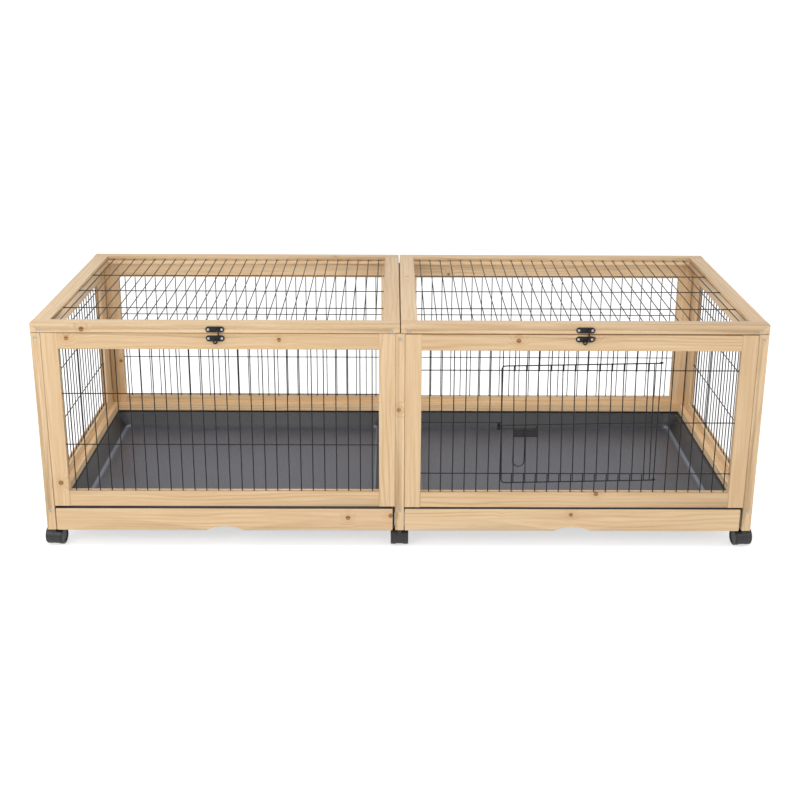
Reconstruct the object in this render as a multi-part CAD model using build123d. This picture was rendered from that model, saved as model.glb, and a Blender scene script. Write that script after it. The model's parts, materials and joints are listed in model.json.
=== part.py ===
from build123d import *
import math
import os

# A low wooden pen of two bays on six casters, with two mesh lids, a wire door and two
# pull-out trays. Millimetres, +Z up. The origin is on the floor under the middle of the
# pen, and the side with the door and the tray fronts faces -Y.

# Overall sizes
overall_width = 1500.0
overall_depth = 640.0
overall_height = 500.0
caster_height = 44.0

# Timber sections
post_width = 19.0
post_depth = 34.0
rail_width = 34.0
stile_width = 34.0
panel_thickness = 15.0
panel_setback = 0.8
lid_thickness = 20.0
lid_rail_width = 30.0
lid_stile_width = 34.0
board_thickness = 12.0
edge_round = 1.2
butt_gap = 0.4

# Lids
lid_spacing = 2.5
lid_clearance = 1.0
lid_mesh_depth = 8.5
lid_first_row = 157.0
lid_row_pitch = 147.0

# Panels and their mesh
panel_lift = 6.0
right_panel_drop = 1.5
mesh_depth = 6.0
wire_diameter = 2.2
wire_weld = 0.3
wire_pitch = 25.0
wire_margin = 11.0
row_pitch = 112.0
row_margin = 90.0
row_shift = 2.75
door_hole_above_rail = 41.0
door_hole_below_rail = 43.5
door_mesh_shift = 3.2
groove_depth = 6.0
groove_clearance = 0.2
wire_end_gap = 0.5

# Lower boards, guard slats and runners
board_drop = 1.5
board_height = 50.0
beam_height = 34.0
guard_height = 18.0
guard_thickness = 15.0
runner_width = 12.0
runner_height = 14.0

# Trays
tray_front_clearance = 3.25
tray_side_clearance = 4.75
tray_rear_clearance = 4.0
tray_shift = -2.0
tray_headroom = 4.5
tray_depth = 32.0
tray_wall = 2.0
tray_rim = 14.0
tray_slope = 28.0
tray_rim_corner = 8.0
tray_top_corner = 30.0
tray_floor_corner = 12.0
tray_floor_round = 4.0
tray_lip = 16.0
slide_clearance = 0.3
finger_width = 79.0
finger_rise = 9.0
board_corner = 2.5

# Wood screws
screw_radius = 1.9
screw_head_radius = 3.4
screw_head_height = 1.6
screw_sink = 0.3
screw_clearance = 0.05
post_screw_length = 58.0
post_screw_from_top = 12.0
skirt_screw_from_foot = 44.0
lid_screw_length = 55.0
panel_screw_length = 40.0
panel_screw_inset = 70.0
small_screw_radius = 1.2
small_head_radius = 2.6
small_head_height = 0.7
small_screw_length = 10.0

# Butt hinges of the lids
hinge_inset = 110.0
hinge_length = 40.0
hinge_leaf = 15.0
hinge_leaf_thickness = 1.4
hinge_barrel_radius = 3.0
hinge_pin_radius = 1.6
hinge_pin_head_radius = 2.6
hinge_pin_head_height = 0.8
hinge_bore_clearance = 0.05
hinge_knuckle_gap = 0.3
hinge_screw_spacing = 24.0

# Hook latches of the lids
latch_width = 38.0
latch_height = 12.0
latch_thickness = 1.2
latch_screw_spacing = 27.4
latch_plate_below_middle = 2.3
keeper_below_lid = 11.2
hook_wire_radius = 1.4
hook_pivot_offset = 7.0
hook_pivot_drop = 1.5
hook_reach = 25.0
hook_lean = 4.0
hook_curl_radius = 3.4
rivet_radius = 1.4
rivet_head_radius = 2.6
rivet_head_height = 1.0
rivet_clearance = 0.08
stud_radius = 1.6
stud_gap = 0.2

# Wire door
door_columns_from_left = 6
door_columns = 13
door_lap_above = 17.5
door_lap_below = 12.5
door_sag_degrees = 1.2
door_frame_diameter = 2.6
door_corner = 8.0
door_eye_clearance = 0.4
door_eye_degrees = 290.0

# Door latch
bolt_radius = 1.3
bolt_tip_beyond_door = 11.5
bolt_below_row = 9.5
bolt_bore_clearance = 0.08
bolt_travel = 15.0
bolt_end_turn = 5.0
bolt_bend_radius = 1.95
latch_sheet = 1.2
latch_sheet_width = 51.0
latch_sheet_height = 17.0
latch_sheet_from_edge = 26.0
loop_length = 6.0
loop_wall = 1.2
handle_wire_radius = 1.1
handle_width = 23.4
handle_drop = 84.0
handle_flat = 0.468
handle_from_tip = 37.0
catch_width = 6.0
catch_clearance = 0.5
catch_sheet = 1.2

# Casters
caster_width = 38.0
caster_trail = 12.0
caster_turn_degrees = 8.0
wheel_radius = 19.0
wheel_width = 12.0
wheel_gap = 0.5
wheel_dish = 1.5
wheel_dish_radius = 14.0
wheel_edge_round = 2.0
wheel_bore_clearance = 0.05
axle_radius = 2.0
axle_bore_depth = 9.0
web_radius = 15.0
hood_clearance = 0.6
hood_thickness = 1.0
hood_inset = 3.0
hood_start_degrees = -35.0
hood_sweep_degrees = 150.0
stem_radius = 3.95
stem_length = 26.0
stem_boss_radius = 6.0
socket_radius = 5.5
socket_bore_clearance = 0.05
socket_flange_radius = 9.0
socket_flange_height = 1.5
socket_gap = 0.2

# Levels
foot = caster_height
lid_bottom = overall_height - lid_thickness
post_top = lid_bottom - lid_clearance
board_bottom = foot - board_drop
board_top = board_bottom + board_height
panel_bottom = board_top + panel_lift
rim_top = panel_bottom - tray_headroom
rim_under = rim_top - tray_wall
runner_top = rim_under - slide_clearance

# Faces
left_face = -overall_width / 2
right_face = overall_width / 2
front_face = -overall_depth / 2
rear_face = overall_depth / 2
wire_radius = wire_diameter / 2
wire_layer = wire_diameter - wire_weld
groove_half = wire_layer / 2 + wire_radius + groove_clearance
bay_width = (overall_width - 3 * post_width) / 2
left_bay = (left_face + post_width, left_face + post_width + bay_width)
right_bay = (post_width / 2, post_width / 2 + bay_width)
bays = {"left": left_bay, "right": right_bay}
panel_front = front_face + panel_setback
panel_back = panel_front + panel_thickness
rear_panel_front = rear_face - panel_thickness


# A panel is laid out in u along it, v up or across it and n through it. Each of these
# turns three such spans, places or directions into X, Y and Z.
def facing_front(u, v, n):
    return u, n, v


def facing_side(u, v, n):
    return n, u, v


def facing_up(u, v, n):
    return u, v, n


def block(x_span, y_span, z_span):
    """A plain box between three pairs of coordinates."""
    spans = (x_span, y_span, z_span)
    sizes = [high - low for low, high in spans]
    middles = [(low + high) / 2 for low, high in spans]
    return Pos(*middles) * Box(*sizes)


def timber(x_span, y_span, z_span):
    """A planed board whose four long edges are rounded."""
    sizes = [high - low for low, high in (x_span, y_span, z_span)]
    grain = (Axis.X, Axis.Y, Axis.Z)[sizes.index(max(sizes))]
    board = block(x_span, y_span, z_span)
    return fillet(board.edges().filter_by(grain), edge_round)


def rod(start, end, radius):
    """A round bar from one point to another."""
    run = Vector(*end) - Vector(*start)
    plane = Plane(origin=start, z_dir=run)
    return plane * Pos(0, 0, run.length / 2) * Cylinder(radius, run.length)


def joined(pieces):
    """One solid from pieces that overlap."""
    return pieces[0] + pieces[1:]


def bent_wire(path, radius):
    """A round wire along a smooth path."""
    start = path @ 0
    section = Plane(origin=start, z_dir=path % 0) * Circle(radius)
    return sweep(section, path=path)


def widened(span, amount):
    return span[0] - amount, span[1] + amount


def evenly_spaced(span, pitch, margin):
    """Places at a pitch, centred in a span, that leave at least a margin at its ends."""
    length = span[1] - span[0]
    steps = int((length - 2 * margin) // pitch)
    start = (span[0] + span[1] - steps * pitch) / 2
    return [start + index * pitch for index in range(steps + 1)]


def overlapping(first, second):
    """Whether the boxes round two pieces meet."""
    a = first.bounding_box()
    b = second.bounding_box()
    meets_x = a.min.X < b.max.X and b.min.X < a.max.X
    meets_y = a.min.Y < b.max.Y and b.min.Y < a.max.Y
    meets_z = a.min.Z < b.max.Z and b.min.Z < a.max.Z
    return meets_x and meets_y and meets_z


# Screws. A screw is made with the hole that it goes into, and drilled cuts those holes.
def wood_screw(head_at, direction, length, radius, head_radius, head_height, sink):
    """A screw and its hole. head_at is on the surface, and direction leads into it."""
    inward = Vector(*direction).normalized()
    surface = Vector(*head_at)
    head_start = surface + inward * sink
    head_end = head_start + inward * head_height
    tip = head_end + inward * length
    head = rod(head_start, head_end, head_radius)
    shank = rod(head_end - inward * (head_height / 2), tip, radius)
    bore = rod(surface - inward * head_height, tip + inward * radius, radius + screw_clearance)
    mouth = rod(surface - inward * head_height, head_end, head_radius + screw_clearance)
    hole = bore + mouth if sink > 0 else bore
    return {"screw": head + shank, "hole": hole}


def long_screw(head_at, direction, length):
    return wood_screw(
        head_at, direction, length, screw_radius, screw_head_radius, screw_head_height, screw_sink
    )


def small_screw(head_at, direction):
    """A screw whose head stands on the sheet that it holds."""
    return wood_screw(
        head_at,
        direction,
        small_screw_length,
        small_screw_radius,
        small_head_radius,
        small_head_height,
        -small_head_height,
    )


def drilled(pieces, screws):
    """The pieces with the hole of each screw that reaches them."""
    finished = []
    for piece in pieces:
        holes = [screw["hole"] for screw in screws if overlapping(piece, screw["hole"])]
        finished.append(piece - holes if holes else piece)
    return finished


# Framed mesh panels
def opening_of(u_span, v_span, rail, stile):
    return widened(u_span, -stile), widened(v_span, -rail)


def frame_boards(facing, u_span, v_span, n_span, rail, stile, mesh_n, stiles_run_through):
    """Two rails and two stiles round an opening, grooved for the mesh."""
    u_open, v_open = opening_of(u_span, v_span, rail, stile)
    groove_n = (mesh_n - groove_half, mesh_n + groove_half)
    groove = block(*facing(widened(u_open, groove_depth), widened(v_open, groove_depth), groove_n))
    u_rail = u_open if stiles_run_through else u_span
    v_stile = v_span if stiles_run_through else v_open
    rail_spans = [(v_span[0], v_open[0]), (v_open[1], v_span[1])]
    stile_spans = [(u_span[0], u_open[0]), (u_open[1], u_span[1])]
    rails = [timber(*facing(u_rail, v_rail, n_span)) - groove for v_rail in rail_spans]
    stiles = [timber(*facing(u_stile, v_stile, n_span)) - groove for u_stile in stile_spans]
    return rails, stiles


def welded_mesh(facing, u_open, v_open, mesh_n, columns, rows, outward, hole=None):
    """Columns and rows of wire, welded where they cross, round an optional door hole."""
    reach = groove_depth - wire_end_gap
    u_ends = widened(u_open, reach)
    v_ends = widened(v_open, reach)
    column_n = mesh_n + outward * wire_layer / 2
    row_n = mesh_n - outward * wire_layer / 2
    wires = []
    for u in columns:
        cut = hole and hole["u"][0] + wire_radius < u < hole["u"][1] - wire_radius
        runs = [v_ends]
        if cut:
            runs = [(v_ends[0], hole["v"][0] + wire_radius), (hole["v"][1] - wire_radius, v_ends[1])]
        for low, high in runs:
            wires.append(rod(facing(u, low, column_n), facing(u, high, column_n), wire_radius))
    for v in rows:
        cut = hole and hole["v"][0] + wire_radius < v < hole["v"][1] - wire_radius
        runs = [u_ends]
        if cut:
            runs = [(u_ends[0], hole["u"][0] + wire_radius), (hole["u"][1] - wire_radius, u_ends[1])]
        for low, high in runs:
            wires.append(rod(facing(low, v, row_n), facing(high, v, row_n), wire_radius))
    return joined(wires)


# Posts
def post_places():
    xs = [left_face + post_width / 2, 0.0, right_face - post_width / 2]
    return dict(zip(("left", "centre", "right"), xs))


def posts(y_span):
    half = post_width / 2
    return [timber((x - half, x + half), y_span, (foot, post_top)) for x in post_places().values()]


front_post_span = (front_face, front_face + post_depth)
rear_post_span = (rear_face - post_depth, rear_face)
swivel_y = {"front": front_face + post_depth / 2, "rear": rear_face - post_depth / 2}

# Front, rear and side panels
front_rails, front_stiles, rear_rails, rear_stiles = [], [], [], []
side_rails, side_stiles = [], []
meshes = {}
panel_u = {side: widened(bay, -butt_gap) for side, bay in bays.items()}
front_v = {
    "left": (panel_bottom, post_top),
    "right": (panel_bottom - right_panel_drop, post_top - right_panel_drop),
}
rear_v = (panel_bottom, post_top)
rear_v_open = widened(rear_v, -rail_width)
plain_rows = [z + row_shift for z in evenly_spaced(rear_v_open, row_pitch, row_margin)]
front_mesh_n = panel_front + mesh_depth
rear_mesh_n = rear_face - mesh_depth

# The hole for the door lies between two columns and two rows of the right front mesh.
door_u_open, door_v_open = opening_of(panel_u["right"], front_v["right"], rail_width, stile_width)
hole_bottom = door_v_open[0] + door_hole_above_rail
hole_top = door_v_open[1] - door_hole_below_rail
door_rows = [hole_bottom, (hole_bottom + hole_top) / 2, hole_top]
door_mesh_columns = [u + door_mesh_shift for u in evenly_spaced(door_u_open, wire_pitch, wire_margin)]
door_left = door_mesh_columns[door_columns_from_left]
door_right = door_left + door_columns * wire_pitch
door_hole = {"u": (door_left, door_right), "v": (door_rows[0], door_rows[-1])}

for side in bays:
    rails, stiles = frame_boards(
        facing_front,
        panel_u[side],
        front_v[side],
        (panel_front, panel_back),
        rail_width,
        stile_width,
        front_mesh_n,
        True,
    )
    front_rails += rails
    front_stiles += stiles
    u_open, v_open = opening_of(panel_u[side], front_v[side], rail_width, stile_width)
    columns, rows, hole = evenly_spaced(u_open, wire_pitch, wire_margin), plain_rows, None
    if side == "right":
        columns, rows, hole = door_mesh_columns, door_rows, door_hole
    meshes["front_" + side] = welded_mesh(
        facing_front, u_open, v_open, front_mesh_n, columns, rows, -1, hole
    )

    rails, stiles = frame_boards(
        facing_front,
        panel_u[side],
        rear_v,
        (rear_panel_front, rear_face),
        rail_width,
        stile_width,
        rear_mesh_n,
        True,
    )
    rear_rails += rails
    rear_stiles += stiles
    u_open, v_open = opening_of(panel_u[side], rear_v, rail_width, stile_width)
    columns = evenly_spaced(u_open, wire_pitch, wire_margin)
    meshes["rear_" + side] = welded_mesh(
        facing_front, u_open, v_open, rear_mesh_n, columns, plain_rows, 1
    )

# The inner face of a side panel is flush with the inner faces of its posts.
side_inner = {"left": left_face + post_width, "right": right_face - post_width}
inward = {"left": 1, "right": -1}
side_u = (front_post_span[1] + butt_gap, rear_post_span[0] - butt_gap)
for side in bays:
    outer = side_inner[side] - inward[side] * panel_thickness
    n_span = tuple(sorted((outer, side_inner[side])))
    mesh_n = outer + inward[side] * mesh_depth
    rails, stiles = frame_boards(
        facing_side, side_u, rear_v, n_span, rail_width, stile_width, mesh_n, True
    )
    side_rails += rails
    side_stiles += stiles
    u_open, v_open = opening_of(side_u, rear_v, rail_width, stile_width)
    columns = evenly_spaced(u_open, wire_pitch, wire_margin)
    meshes["side_" + side] = welded_mesh(
        facing_side, u_open, v_open, mesh_n, columns, plain_rows, -inward[side]
    )

# Skirt boards close the sides and the rear under the panels.
skirt_z = (board_bottom, panel_bottom)
skirt_boards = []
for side in bays:
    outer = side_inner[side] - inward[side] * board_thickness
    skirt_boards.append(timber(tuple(sorted((outer, side_inner[side]))), side_u, skirt_z))
    skirt_boards.append(timber(panel_u[side], (rear_face - board_thickness, rear_face), skirt_z))

# Two beams tie the centre posts together, one between the trays and one under the lids.
beam_x = (-post_width / 2, post_width / 2)
centre_beams = [
    timber(beam_x, side_u, skirt_z),
    timber(beam_x, side_u, (post_top - beam_height, post_top)),
]

# Guard slats hang over the tray rims inside the panels.
guard_z = (panel_bottom, panel_bottom + guard_height)
rear_guard_y = (rear_panel_front - guard_thickness, rear_panel_front)
guard_slats = []
for side in bays:
    inner = side_inner[side] + inward[side] * guard_thickness
    x_span = tuple(sorted((side_inner[side], inner)))
    y_span = (panel_back, rear_guard_y[0] - butt_gap)
    guard_slats.append(timber(x_span, y_span, guard_z))
    guard_slats.append(timber(panel_u[side], rear_guard_y, guard_z))

# Runners carry the tray rims, one at each side of each bay.
runner_z = (runner_top - runner_height, runner_top)
runner_y = (panel_back, rear_face - board_thickness)
tray_runners = []
for bay in bays.values():
    tray_runners.append(timber((bay[0], bay[0] + runner_width), runner_y, runner_z))
    tray_runners.append(timber((bay[1] - runner_width, bay[1]), runner_y, runner_z))


# Lids
lid_u = {
    "left": (left_face, -lid_spacing / 2),
    "right": (lid_spacing / 2, right_face),
}
lid_v = (front_face, rear_face)
lid_mesh_n = overall_height - lid_mesh_depth
lids = {}
for side in bays:
    rails, stiles = frame_boards(
        facing_up,
        lid_u[side],
        lid_v,
        (lid_bottom, overall_height),
        lid_rail_width,
        lid_stile_width,
        lid_mesh_n,
        False,
    )
    u_open, v_open = opening_of(lid_u[side], lid_v, lid_rail_width, lid_stile_width)
    columns = evenly_spaced(u_open, wire_pitch, wire_margin)
    rows = [front_face + lid_first_row + lid_row_pitch * index for index in range(3)]
    mesh = welded_mesh(facing_up, u_open, v_open, lid_mesh_n, columns, rows, 1)
    lids[side] = {"rails": rails, "stiles": stiles, "mesh": mesh, "screws": []}

# Screws of the timber frame
frame_screws = []
for x in post_places().values():
    for z in (post_top - post_screw_from_top, foot + skirt_screw_from_foot):
        frame_screws.append(long_screw((x, front_face, z), (0, 1, 0), post_screw_length))
        frame_screws.append(long_screw((x, rear_face, z), (0, -1, 0), post_screw_length))

# Each stile is screwed through its width into the post beside it, clear of the mesh.
panel_screw_back = (panel_thickness + mesh_depth + groove_half) / 2
for side in bays:
    u_span = panel_u[side]
    for z in (panel_bottom + panel_screw_inset, post_top - panel_screw_inset):
        for y in (panel_front + panel_screw_back, rear_face - panel_screw_back):
            left_edge = u_span[0] + stile_width
            right_edge = u_span[1] - stile_width
            frame_screws.append(long_screw((left_edge, y, z), (-1, 0, 0), panel_screw_length))
            frame_screws.append(long_screw((right_edge, y, z), (1, 0, 0), panel_screw_length))

# Lid rails are screwed into the ends of the lid stiles.
lid_screw_z = (lid_bottom + lid_mesh_n - groove_half) / 2
for side in bays:
    u_span = lid_u[side]
    for x in (u_span[0] + lid_stile_width / 2, u_span[1] - lid_stile_width / 2):
        front_screw = long_screw((x, front_face, lid_screw_z), (0, 1, 0), lid_screw_length)
        rear_screw = long_screw((x, rear_face, lid_screw_z), (0, -1, 0), lid_screw_length)
        lids[side]["screws"] += [front_screw, rear_screw]

# Butt hinges at the back of the lids, with two outer knuckles on the frame and one on the lid
hinge_y = rear_face + hinge_barrel_radius + hinge_knuckle_gap
hinge_z = (lid_bottom + post_top) / 2
knuckle = (hinge_length - 2 * hinge_knuckle_gap) / 3
leaf_y = (rear_face, rear_face + hinge_leaf_thickness)
leaf_start = hinge_barrel_radius + hinge_knuckle_gap


def barrel(x_span):
    return rod((x_span[0], hinge_y, hinge_z), (x_span[1], hinge_y, hinge_z), hinge_barrel_radius)


def hinge_leaf_piece(middle, up, knuckle_spans):
    """A leaf with its knuckles. up is 1 for the lid's leaf and -1 for the frame's."""
    x_span = (middle - hinge_length / 2, middle + hinge_length / 2)
    z_near = hinge_z + up * leaf_start
    z_far = hinge_z + up * (leaf_start + hinge_leaf)
    pieces = [block(x_span, leaf_y, tuple(sorted((z_near, z_far))))]
    for span in knuckle_spans:
        pieces.append(barrel(span))
        pieces.append(block(span, leaf_y, tuple(sorted((hinge_z, z_near)))))
    leaf = joined(pieces)
    bore_ends = (x_span[0] - hinge_length, x_span[1] + hinge_length)
    bore = rod(
        (bore_ends[0], hinge_y, hinge_z),
        (bore_ends[1], hinge_y, hinge_z),
        hinge_pin_radius + hinge_bore_clearance,
    )
    return leaf - bore


def hinge_pin(middle):
    """A pin with a head at each end, just outside the barrel."""
    half = hinge_length / 2 + hinge_bore_clearance
    shaft = rod((middle - half, hinge_y, hinge_z), (middle + half, hinge_y, hinge_z), hinge_pin_radius)
    heads = []
    for end in (-1, 1):
        start = (middle + end * half, hinge_y, hinge_z)
        finish = (middle + end * (half + hinge_pin_head_height), hinge_y, hinge_z)
        heads.append(rod(start, finish, hinge_pin_head_radius))
    return joined([shaft] + heads)


frame_leaves, hinge_pins = [], []
for side in bays:
    lid_leaves = []
    for middle in (lid_u[side][0] + hinge_inset, lid_u[side][1] - hinge_inset):
        half = hinge_length / 2
        inner = knuckle / 2
        outer = inner + hinge_knuckle_gap
        left_knuckle = (middle - half, middle - outer)
        right_knuckle = (middle + outer, middle + half)
        frame_leaf = hinge_leaf_piece(middle, -1, [left_knuckle, right_knuckle])
        lid_leaf = hinge_leaf_piece(middle, 1, [(middle - inner, middle + inner)])
        hinge_pins.append(hinge_pin(middle))
        reach = leaf_start + hinge_leaf / 2
        frame_leaf_screws, lid_leaf_screws = [], []
        for x in (middle - hinge_screw_spacing / 2, middle + hinge_screw_spacing / 2):
            frame_leaf_screws.append(small_screw((x, leaf_y[1], hinge_z - reach), (0, -1, 0)))
            lid_leaf_screws.append(small_screw((x, leaf_y[1], hinge_z + reach), (0, -1, 0)))
        frame_leaves += drilled([frame_leaf], frame_leaf_screws)
        lid_leaves += drilled([lid_leaf], lid_leaf_screws)
        frame_screws += frame_leaf_screws
        lids[side]["screws"] += lid_leaf_screws
    lids[side]["leaves"] = lid_leaves


# Hook latches: a plate with a riveted hook on each lid, and a keeper plate below it
def latch_plate(middle_x, middle_z, back_y):
    """A flat plate with round ends. Its front face looks towards -Y."""
    outline = Plane.XZ * Pos(middle_x, middle_z) * SlotOverall(latch_width, latch_height)
    return Pos(0, back_y, 0) * extrude(outline, latch_thickness)


def latch_screws(middle_x, middle_z, front_y):
    offsets = (-latch_screw_spacing / 2, latch_screw_spacing / 2)
    return [small_screw((middle_x + dx, front_y, middle_z), (0, 1, 0)) for dx in offsets]


upper_plate_z = (lid_bottom + overall_height) / 2 - latch_plate_below_middle
keeper_z = lid_bottom - keeper_below_lid
plate_front = front_face - latch_thickness
keeper_front = panel_front - latch_thickness

# The rivet heads stand as far out in front as the hinge barrels do behind.
rivet_end = -(hinge_y + hinge_barrel_radius)
hook_back = rivet_end + rivet_head_height + rivet_clearance + 2 * hook_wire_radius
hook_y = hook_back - hook_wire_radius
eye_radius = rivet_radius + rivet_clearance + hook_wire_radius
pivot_z = upper_plate_z - hook_pivot_drop


def hook(pivot_x):
    """A round wire hook that hangs from its rivet and ends in a finger curl."""
    eye = Pos(pivot_x, hook_y, pivot_z) * Rot(90, 0, 0) * Torus(eye_radius, hook_wire_radius)
    top = Vector(pivot_x, hook_y, pivot_z - eye_radius)
    bottom = Vector(pivot_x - hook_lean, hook_y, pivot_z - hook_reach)
    bend = Vector(pivot_x, hook_y, pivot_z - hook_reach / 2)
    shaft = FilletPolyline(top, bend, bottom, radius=hook_reach / 4)
    along = shaft % 1
    side = Vector(along.Z, 0, -along.X)
    centre = bottom + side * hook_curl_radius
    curl_plane = Plane(origin=centre, x_dir=-side, z_dir=(0, 1, 0))
    turn = CenterArc((0, 0), hook_curl_radius, 0, 270)
    curl = curl_plane * turn
    path = Wire([*shaft.edges(), *curl.edges()])
    return bent_wire(path, hook_wire_radius) + eye


def rivet(pivot_x):
    """A headed pin with a spacer under the hook."""
    spacer = rod(
        (pivot_x, plate_front, pivot_z),
        (pivot_x, hook_back + rivet_clearance, pivot_z),
        eye_radius,
    )
    head_y = rivet_end + rivet_head_height
    pin = rod((pivot_x, plate_front, pivot_z), (pivot_x, head_y, pivot_z), rivet_radius)
    head = rod((pivot_x, head_y, pivot_z), (pivot_x, rivet_end, pivot_z), rivet_head_radius)
    return joined([spacer, pin, head])


keepers = []
for side in bays:
    middle_x = sum(lid_u[side]) / 2
    pivot_x = middle_x + hook_pivot_offset
    plate = latch_plate(middle_x, upper_plate_z, front_face) + rivet(pivot_x)
    plate_screws = latch_screws(middle_x, upper_plate_z, plate_front)
    lids[side]["latch"] = drilled([plate], plate_screws)
    lids[side]["screws"] += plate_screws
    lids[side]["hook"] = hook(pivot_x)
    lids[side]["pivot"] = (pivot_x, hook_y, pivot_z)
    keeper = latch_plate(middle_x, keeper_z, panel_front)
    stud_end = hook_back + stud_gap
    keeper = keeper + rod((middle_x, keeper_front, keeper_z), (middle_x, stud_end, keeper_z), stud_radius)
    keeper_screws = latch_screws(middle_x, keeper_z, keeper_front)
    keepers += drilled([keeper], keeper_screws)
    frame_screws += keeper_screws

# Wire door, hung by two eyes on the mesh column at the right of its hole
hinge_wire_y = front_mesh_n - wire_layer / 2
door_frame_radius = door_frame_diameter / 2
eye_bend = wire_radius + door_eye_clearance + door_frame_radius
door_y = hinge_wire_y - eye_bend
door_column_y = door_y - (door_frame_radius + wire_radius - wire_weld)
door_front_y = door_column_y - wire_radius
door_top = door_rows[-1] + door_lap_above
door_bottom = door_rows[0] - door_lap_below
door_middle = (door_top + door_bottom) / 2
sag = math.radians(door_sag_degrees)


def sagged(across, up, y):
    """A point of the door, across from its hinge wire and up from its middle."""
    x = door_right + across * math.cos(sag) - up * math.sin(sag)
    z = door_middle + across * math.sin(sag) + up * math.cos(sag)
    return Vector(x, y, z)


def door_eye(level):
    """The arc that curls round the hinge wire, from the door's front to its end."""
    plane = Plane(origin=(door_right, hinge_wire_y, level), x_dir=(0, -1, 0), z_dir=(0, 0, 1))
    return plane * CenterArc((0, 0), eye_bend, 0, door_eye_degrees)


door_half = (door_top - door_bottom) / 2
door_reach = door_right - door_left
corner_high = sagged(-door_reach, door_half, door_y)
corner_low = sagged(-door_reach, -door_half, door_y)
hinge_high = Vector(door_right, door_y, sagged(door_half * math.tan(sag), door_half, door_y).Z)
hinge_low = Vector(door_right, door_y, sagged(-door_half * math.tan(sag), -door_half, door_y).Z)
door_outline = FilletPolyline(hinge_high, corner_high, corner_low, hinge_low, radius=door_corner)
door_wires = [bent_wire(door_outline, door_frame_radius)]
for level in (hinge_high.Z, hinge_low.Z):
    door_wires.append(bent_wire(door_eye(level), door_frame_radius))
rail_start = sagged(-door_reach, 0, door_y)
rail_end = sagged(-wire_pitch / 2, 0, door_y)
door_wires.append(rod(rail_start, rail_end, wire_radius))
for index in range(1, door_columns + 1):
    across = -door_reach + index * wire_pitch
    if index == door_columns:
        across = -wire_pitch / 2
    low = sagged(across, -door_half, door_column_y)
    high = sagged(across, door_half, door_column_y)
    door_wires.append(rod(low, high, wire_radius))
wire_door = joined(door_wires)

# Door latch: a sheet with two rolled loops, the bolt that slides in them, and its catch
bolt_z = door_rows[1] - bolt_below_row
loop_radius = bolt_radius + bolt_bore_clearance + loop_wall
sheet_back = door_front_y
sheet_front = sheet_back - latch_sheet
bolt_y = sheet_back - loop_radius
bolt_tip = door_left - bolt_tip_beyond_door
handle_left = bolt_tip + handle_from_tip
handle_right = handle_left + handle_width
sheet_left = door_left + latch_sheet_from_edge
first_loop = (
    handle_left + handle_wire_radius + bolt_travel + slide_clearance,
    handle_right - handle_wire_radius - slide_clearance,
)
second_start = handle_right + handle_wire_radius + bolt_travel + slide_clearance
second_loop = (second_start, second_start + loop_length)
sheet_right = max(sheet_left + latch_sheet_width, second_loop[1])
sheet_top = bolt_z - bolt_radius - loop_wall
latch_sheet_piece = block(
    (sheet_left, sheet_right), (sheet_front, sheet_back), (sheet_top - latch_sheet_height, sheet_top)
)
for loop in (first_loop, second_loop):
    ring = rod((loop[0], bolt_y, bolt_z), (loop[1], bolt_y, bolt_z), loop_radius)
    tab = block(loop, (sheet_front, sheet_back), (sheet_top - latch_sheet, bolt_z))
    latch_sheet_piece = latch_sheet_piece + ring + tab
loop_bore = rod(
    (sheet_left, bolt_y, bolt_z), (sheet_right, bolt_y, bolt_z), bolt_radius + bolt_bore_clearance
)
latch_sheet_piece = latch_sheet_piece - loop_bore

bolt_end = second_loop[1] + slide_clearance + bolt_radius
bolt_path = FilletPolyline(
    (bolt_tip, bolt_y, bolt_z),
    (bolt_end, bolt_y, bolt_z),
    (bolt_end, bolt_y, bolt_z + bolt_end_turn),
    radius=bolt_bend_radius,
)
handle_bend = (handle_width - handle_flat) / 2
handle_bottom = bolt_z - handle_drop
handle_path = FilletPolyline(
    (handle_left, bolt_y, bolt_z),
    (handle_left, bolt_y, handle_bottom),
    (handle_right, bolt_y, handle_bottom),
    (handle_right, bolt_y, bolt_z),
    radius=handle_bend,
)
door_bolt = bent_wire(bolt_path, bolt_radius) + bent_wire(handle_path, handle_wire_radius)

# The catch hangs on the middle row of the mesh, and its two prongs hold the bolt's tip.
catch_right = door_left - door_frame_radius - catch_clearance * 2
catch_x = (catch_right - catch_width, catch_right)
row_y = front_mesh_n + wire_layer / 2
row_z = door_rows[1]
catch_back = row_y - wire_radius
catch_front = catch_back - catch_sheet
prong_gap = bolt_radius + catch_clearance
prong_y = (bolt_y - bolt_radius, catch_back)
low_prong = (bolt_z - prong_gap - catch_sheet, bolt_z - prong_gap)
high_prong = (bolt_z + prong_gap, bolt_z + prong_gap + catch_sheet)
catch_top = row_z + wire_radius + catch_sheet
hook_over = (row_z + wire_radius, catch_top)
door_catch = joined(
    [
        block(catch_x, (catch_front, catch_back), (low_prong[0], catch_top)),
        block(catch_x, prong_y, low_prong),
        block(catch_x, prong_y, high_prong),
        block(catch_x, (catch_front, row_y + wire_radius), hook_over),
    ]
)


# Trays with sloping walls, each behind its own wooden front
def rounded_block(middle_x, y_span, widths, z, corner):
    middle_y = sum(y_span) / 2
    depth = y_span[1] - y_span[0]
    return Pos(middle_x, middle_y, z) * RectangleRounded(widths, depth, corner)


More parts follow.
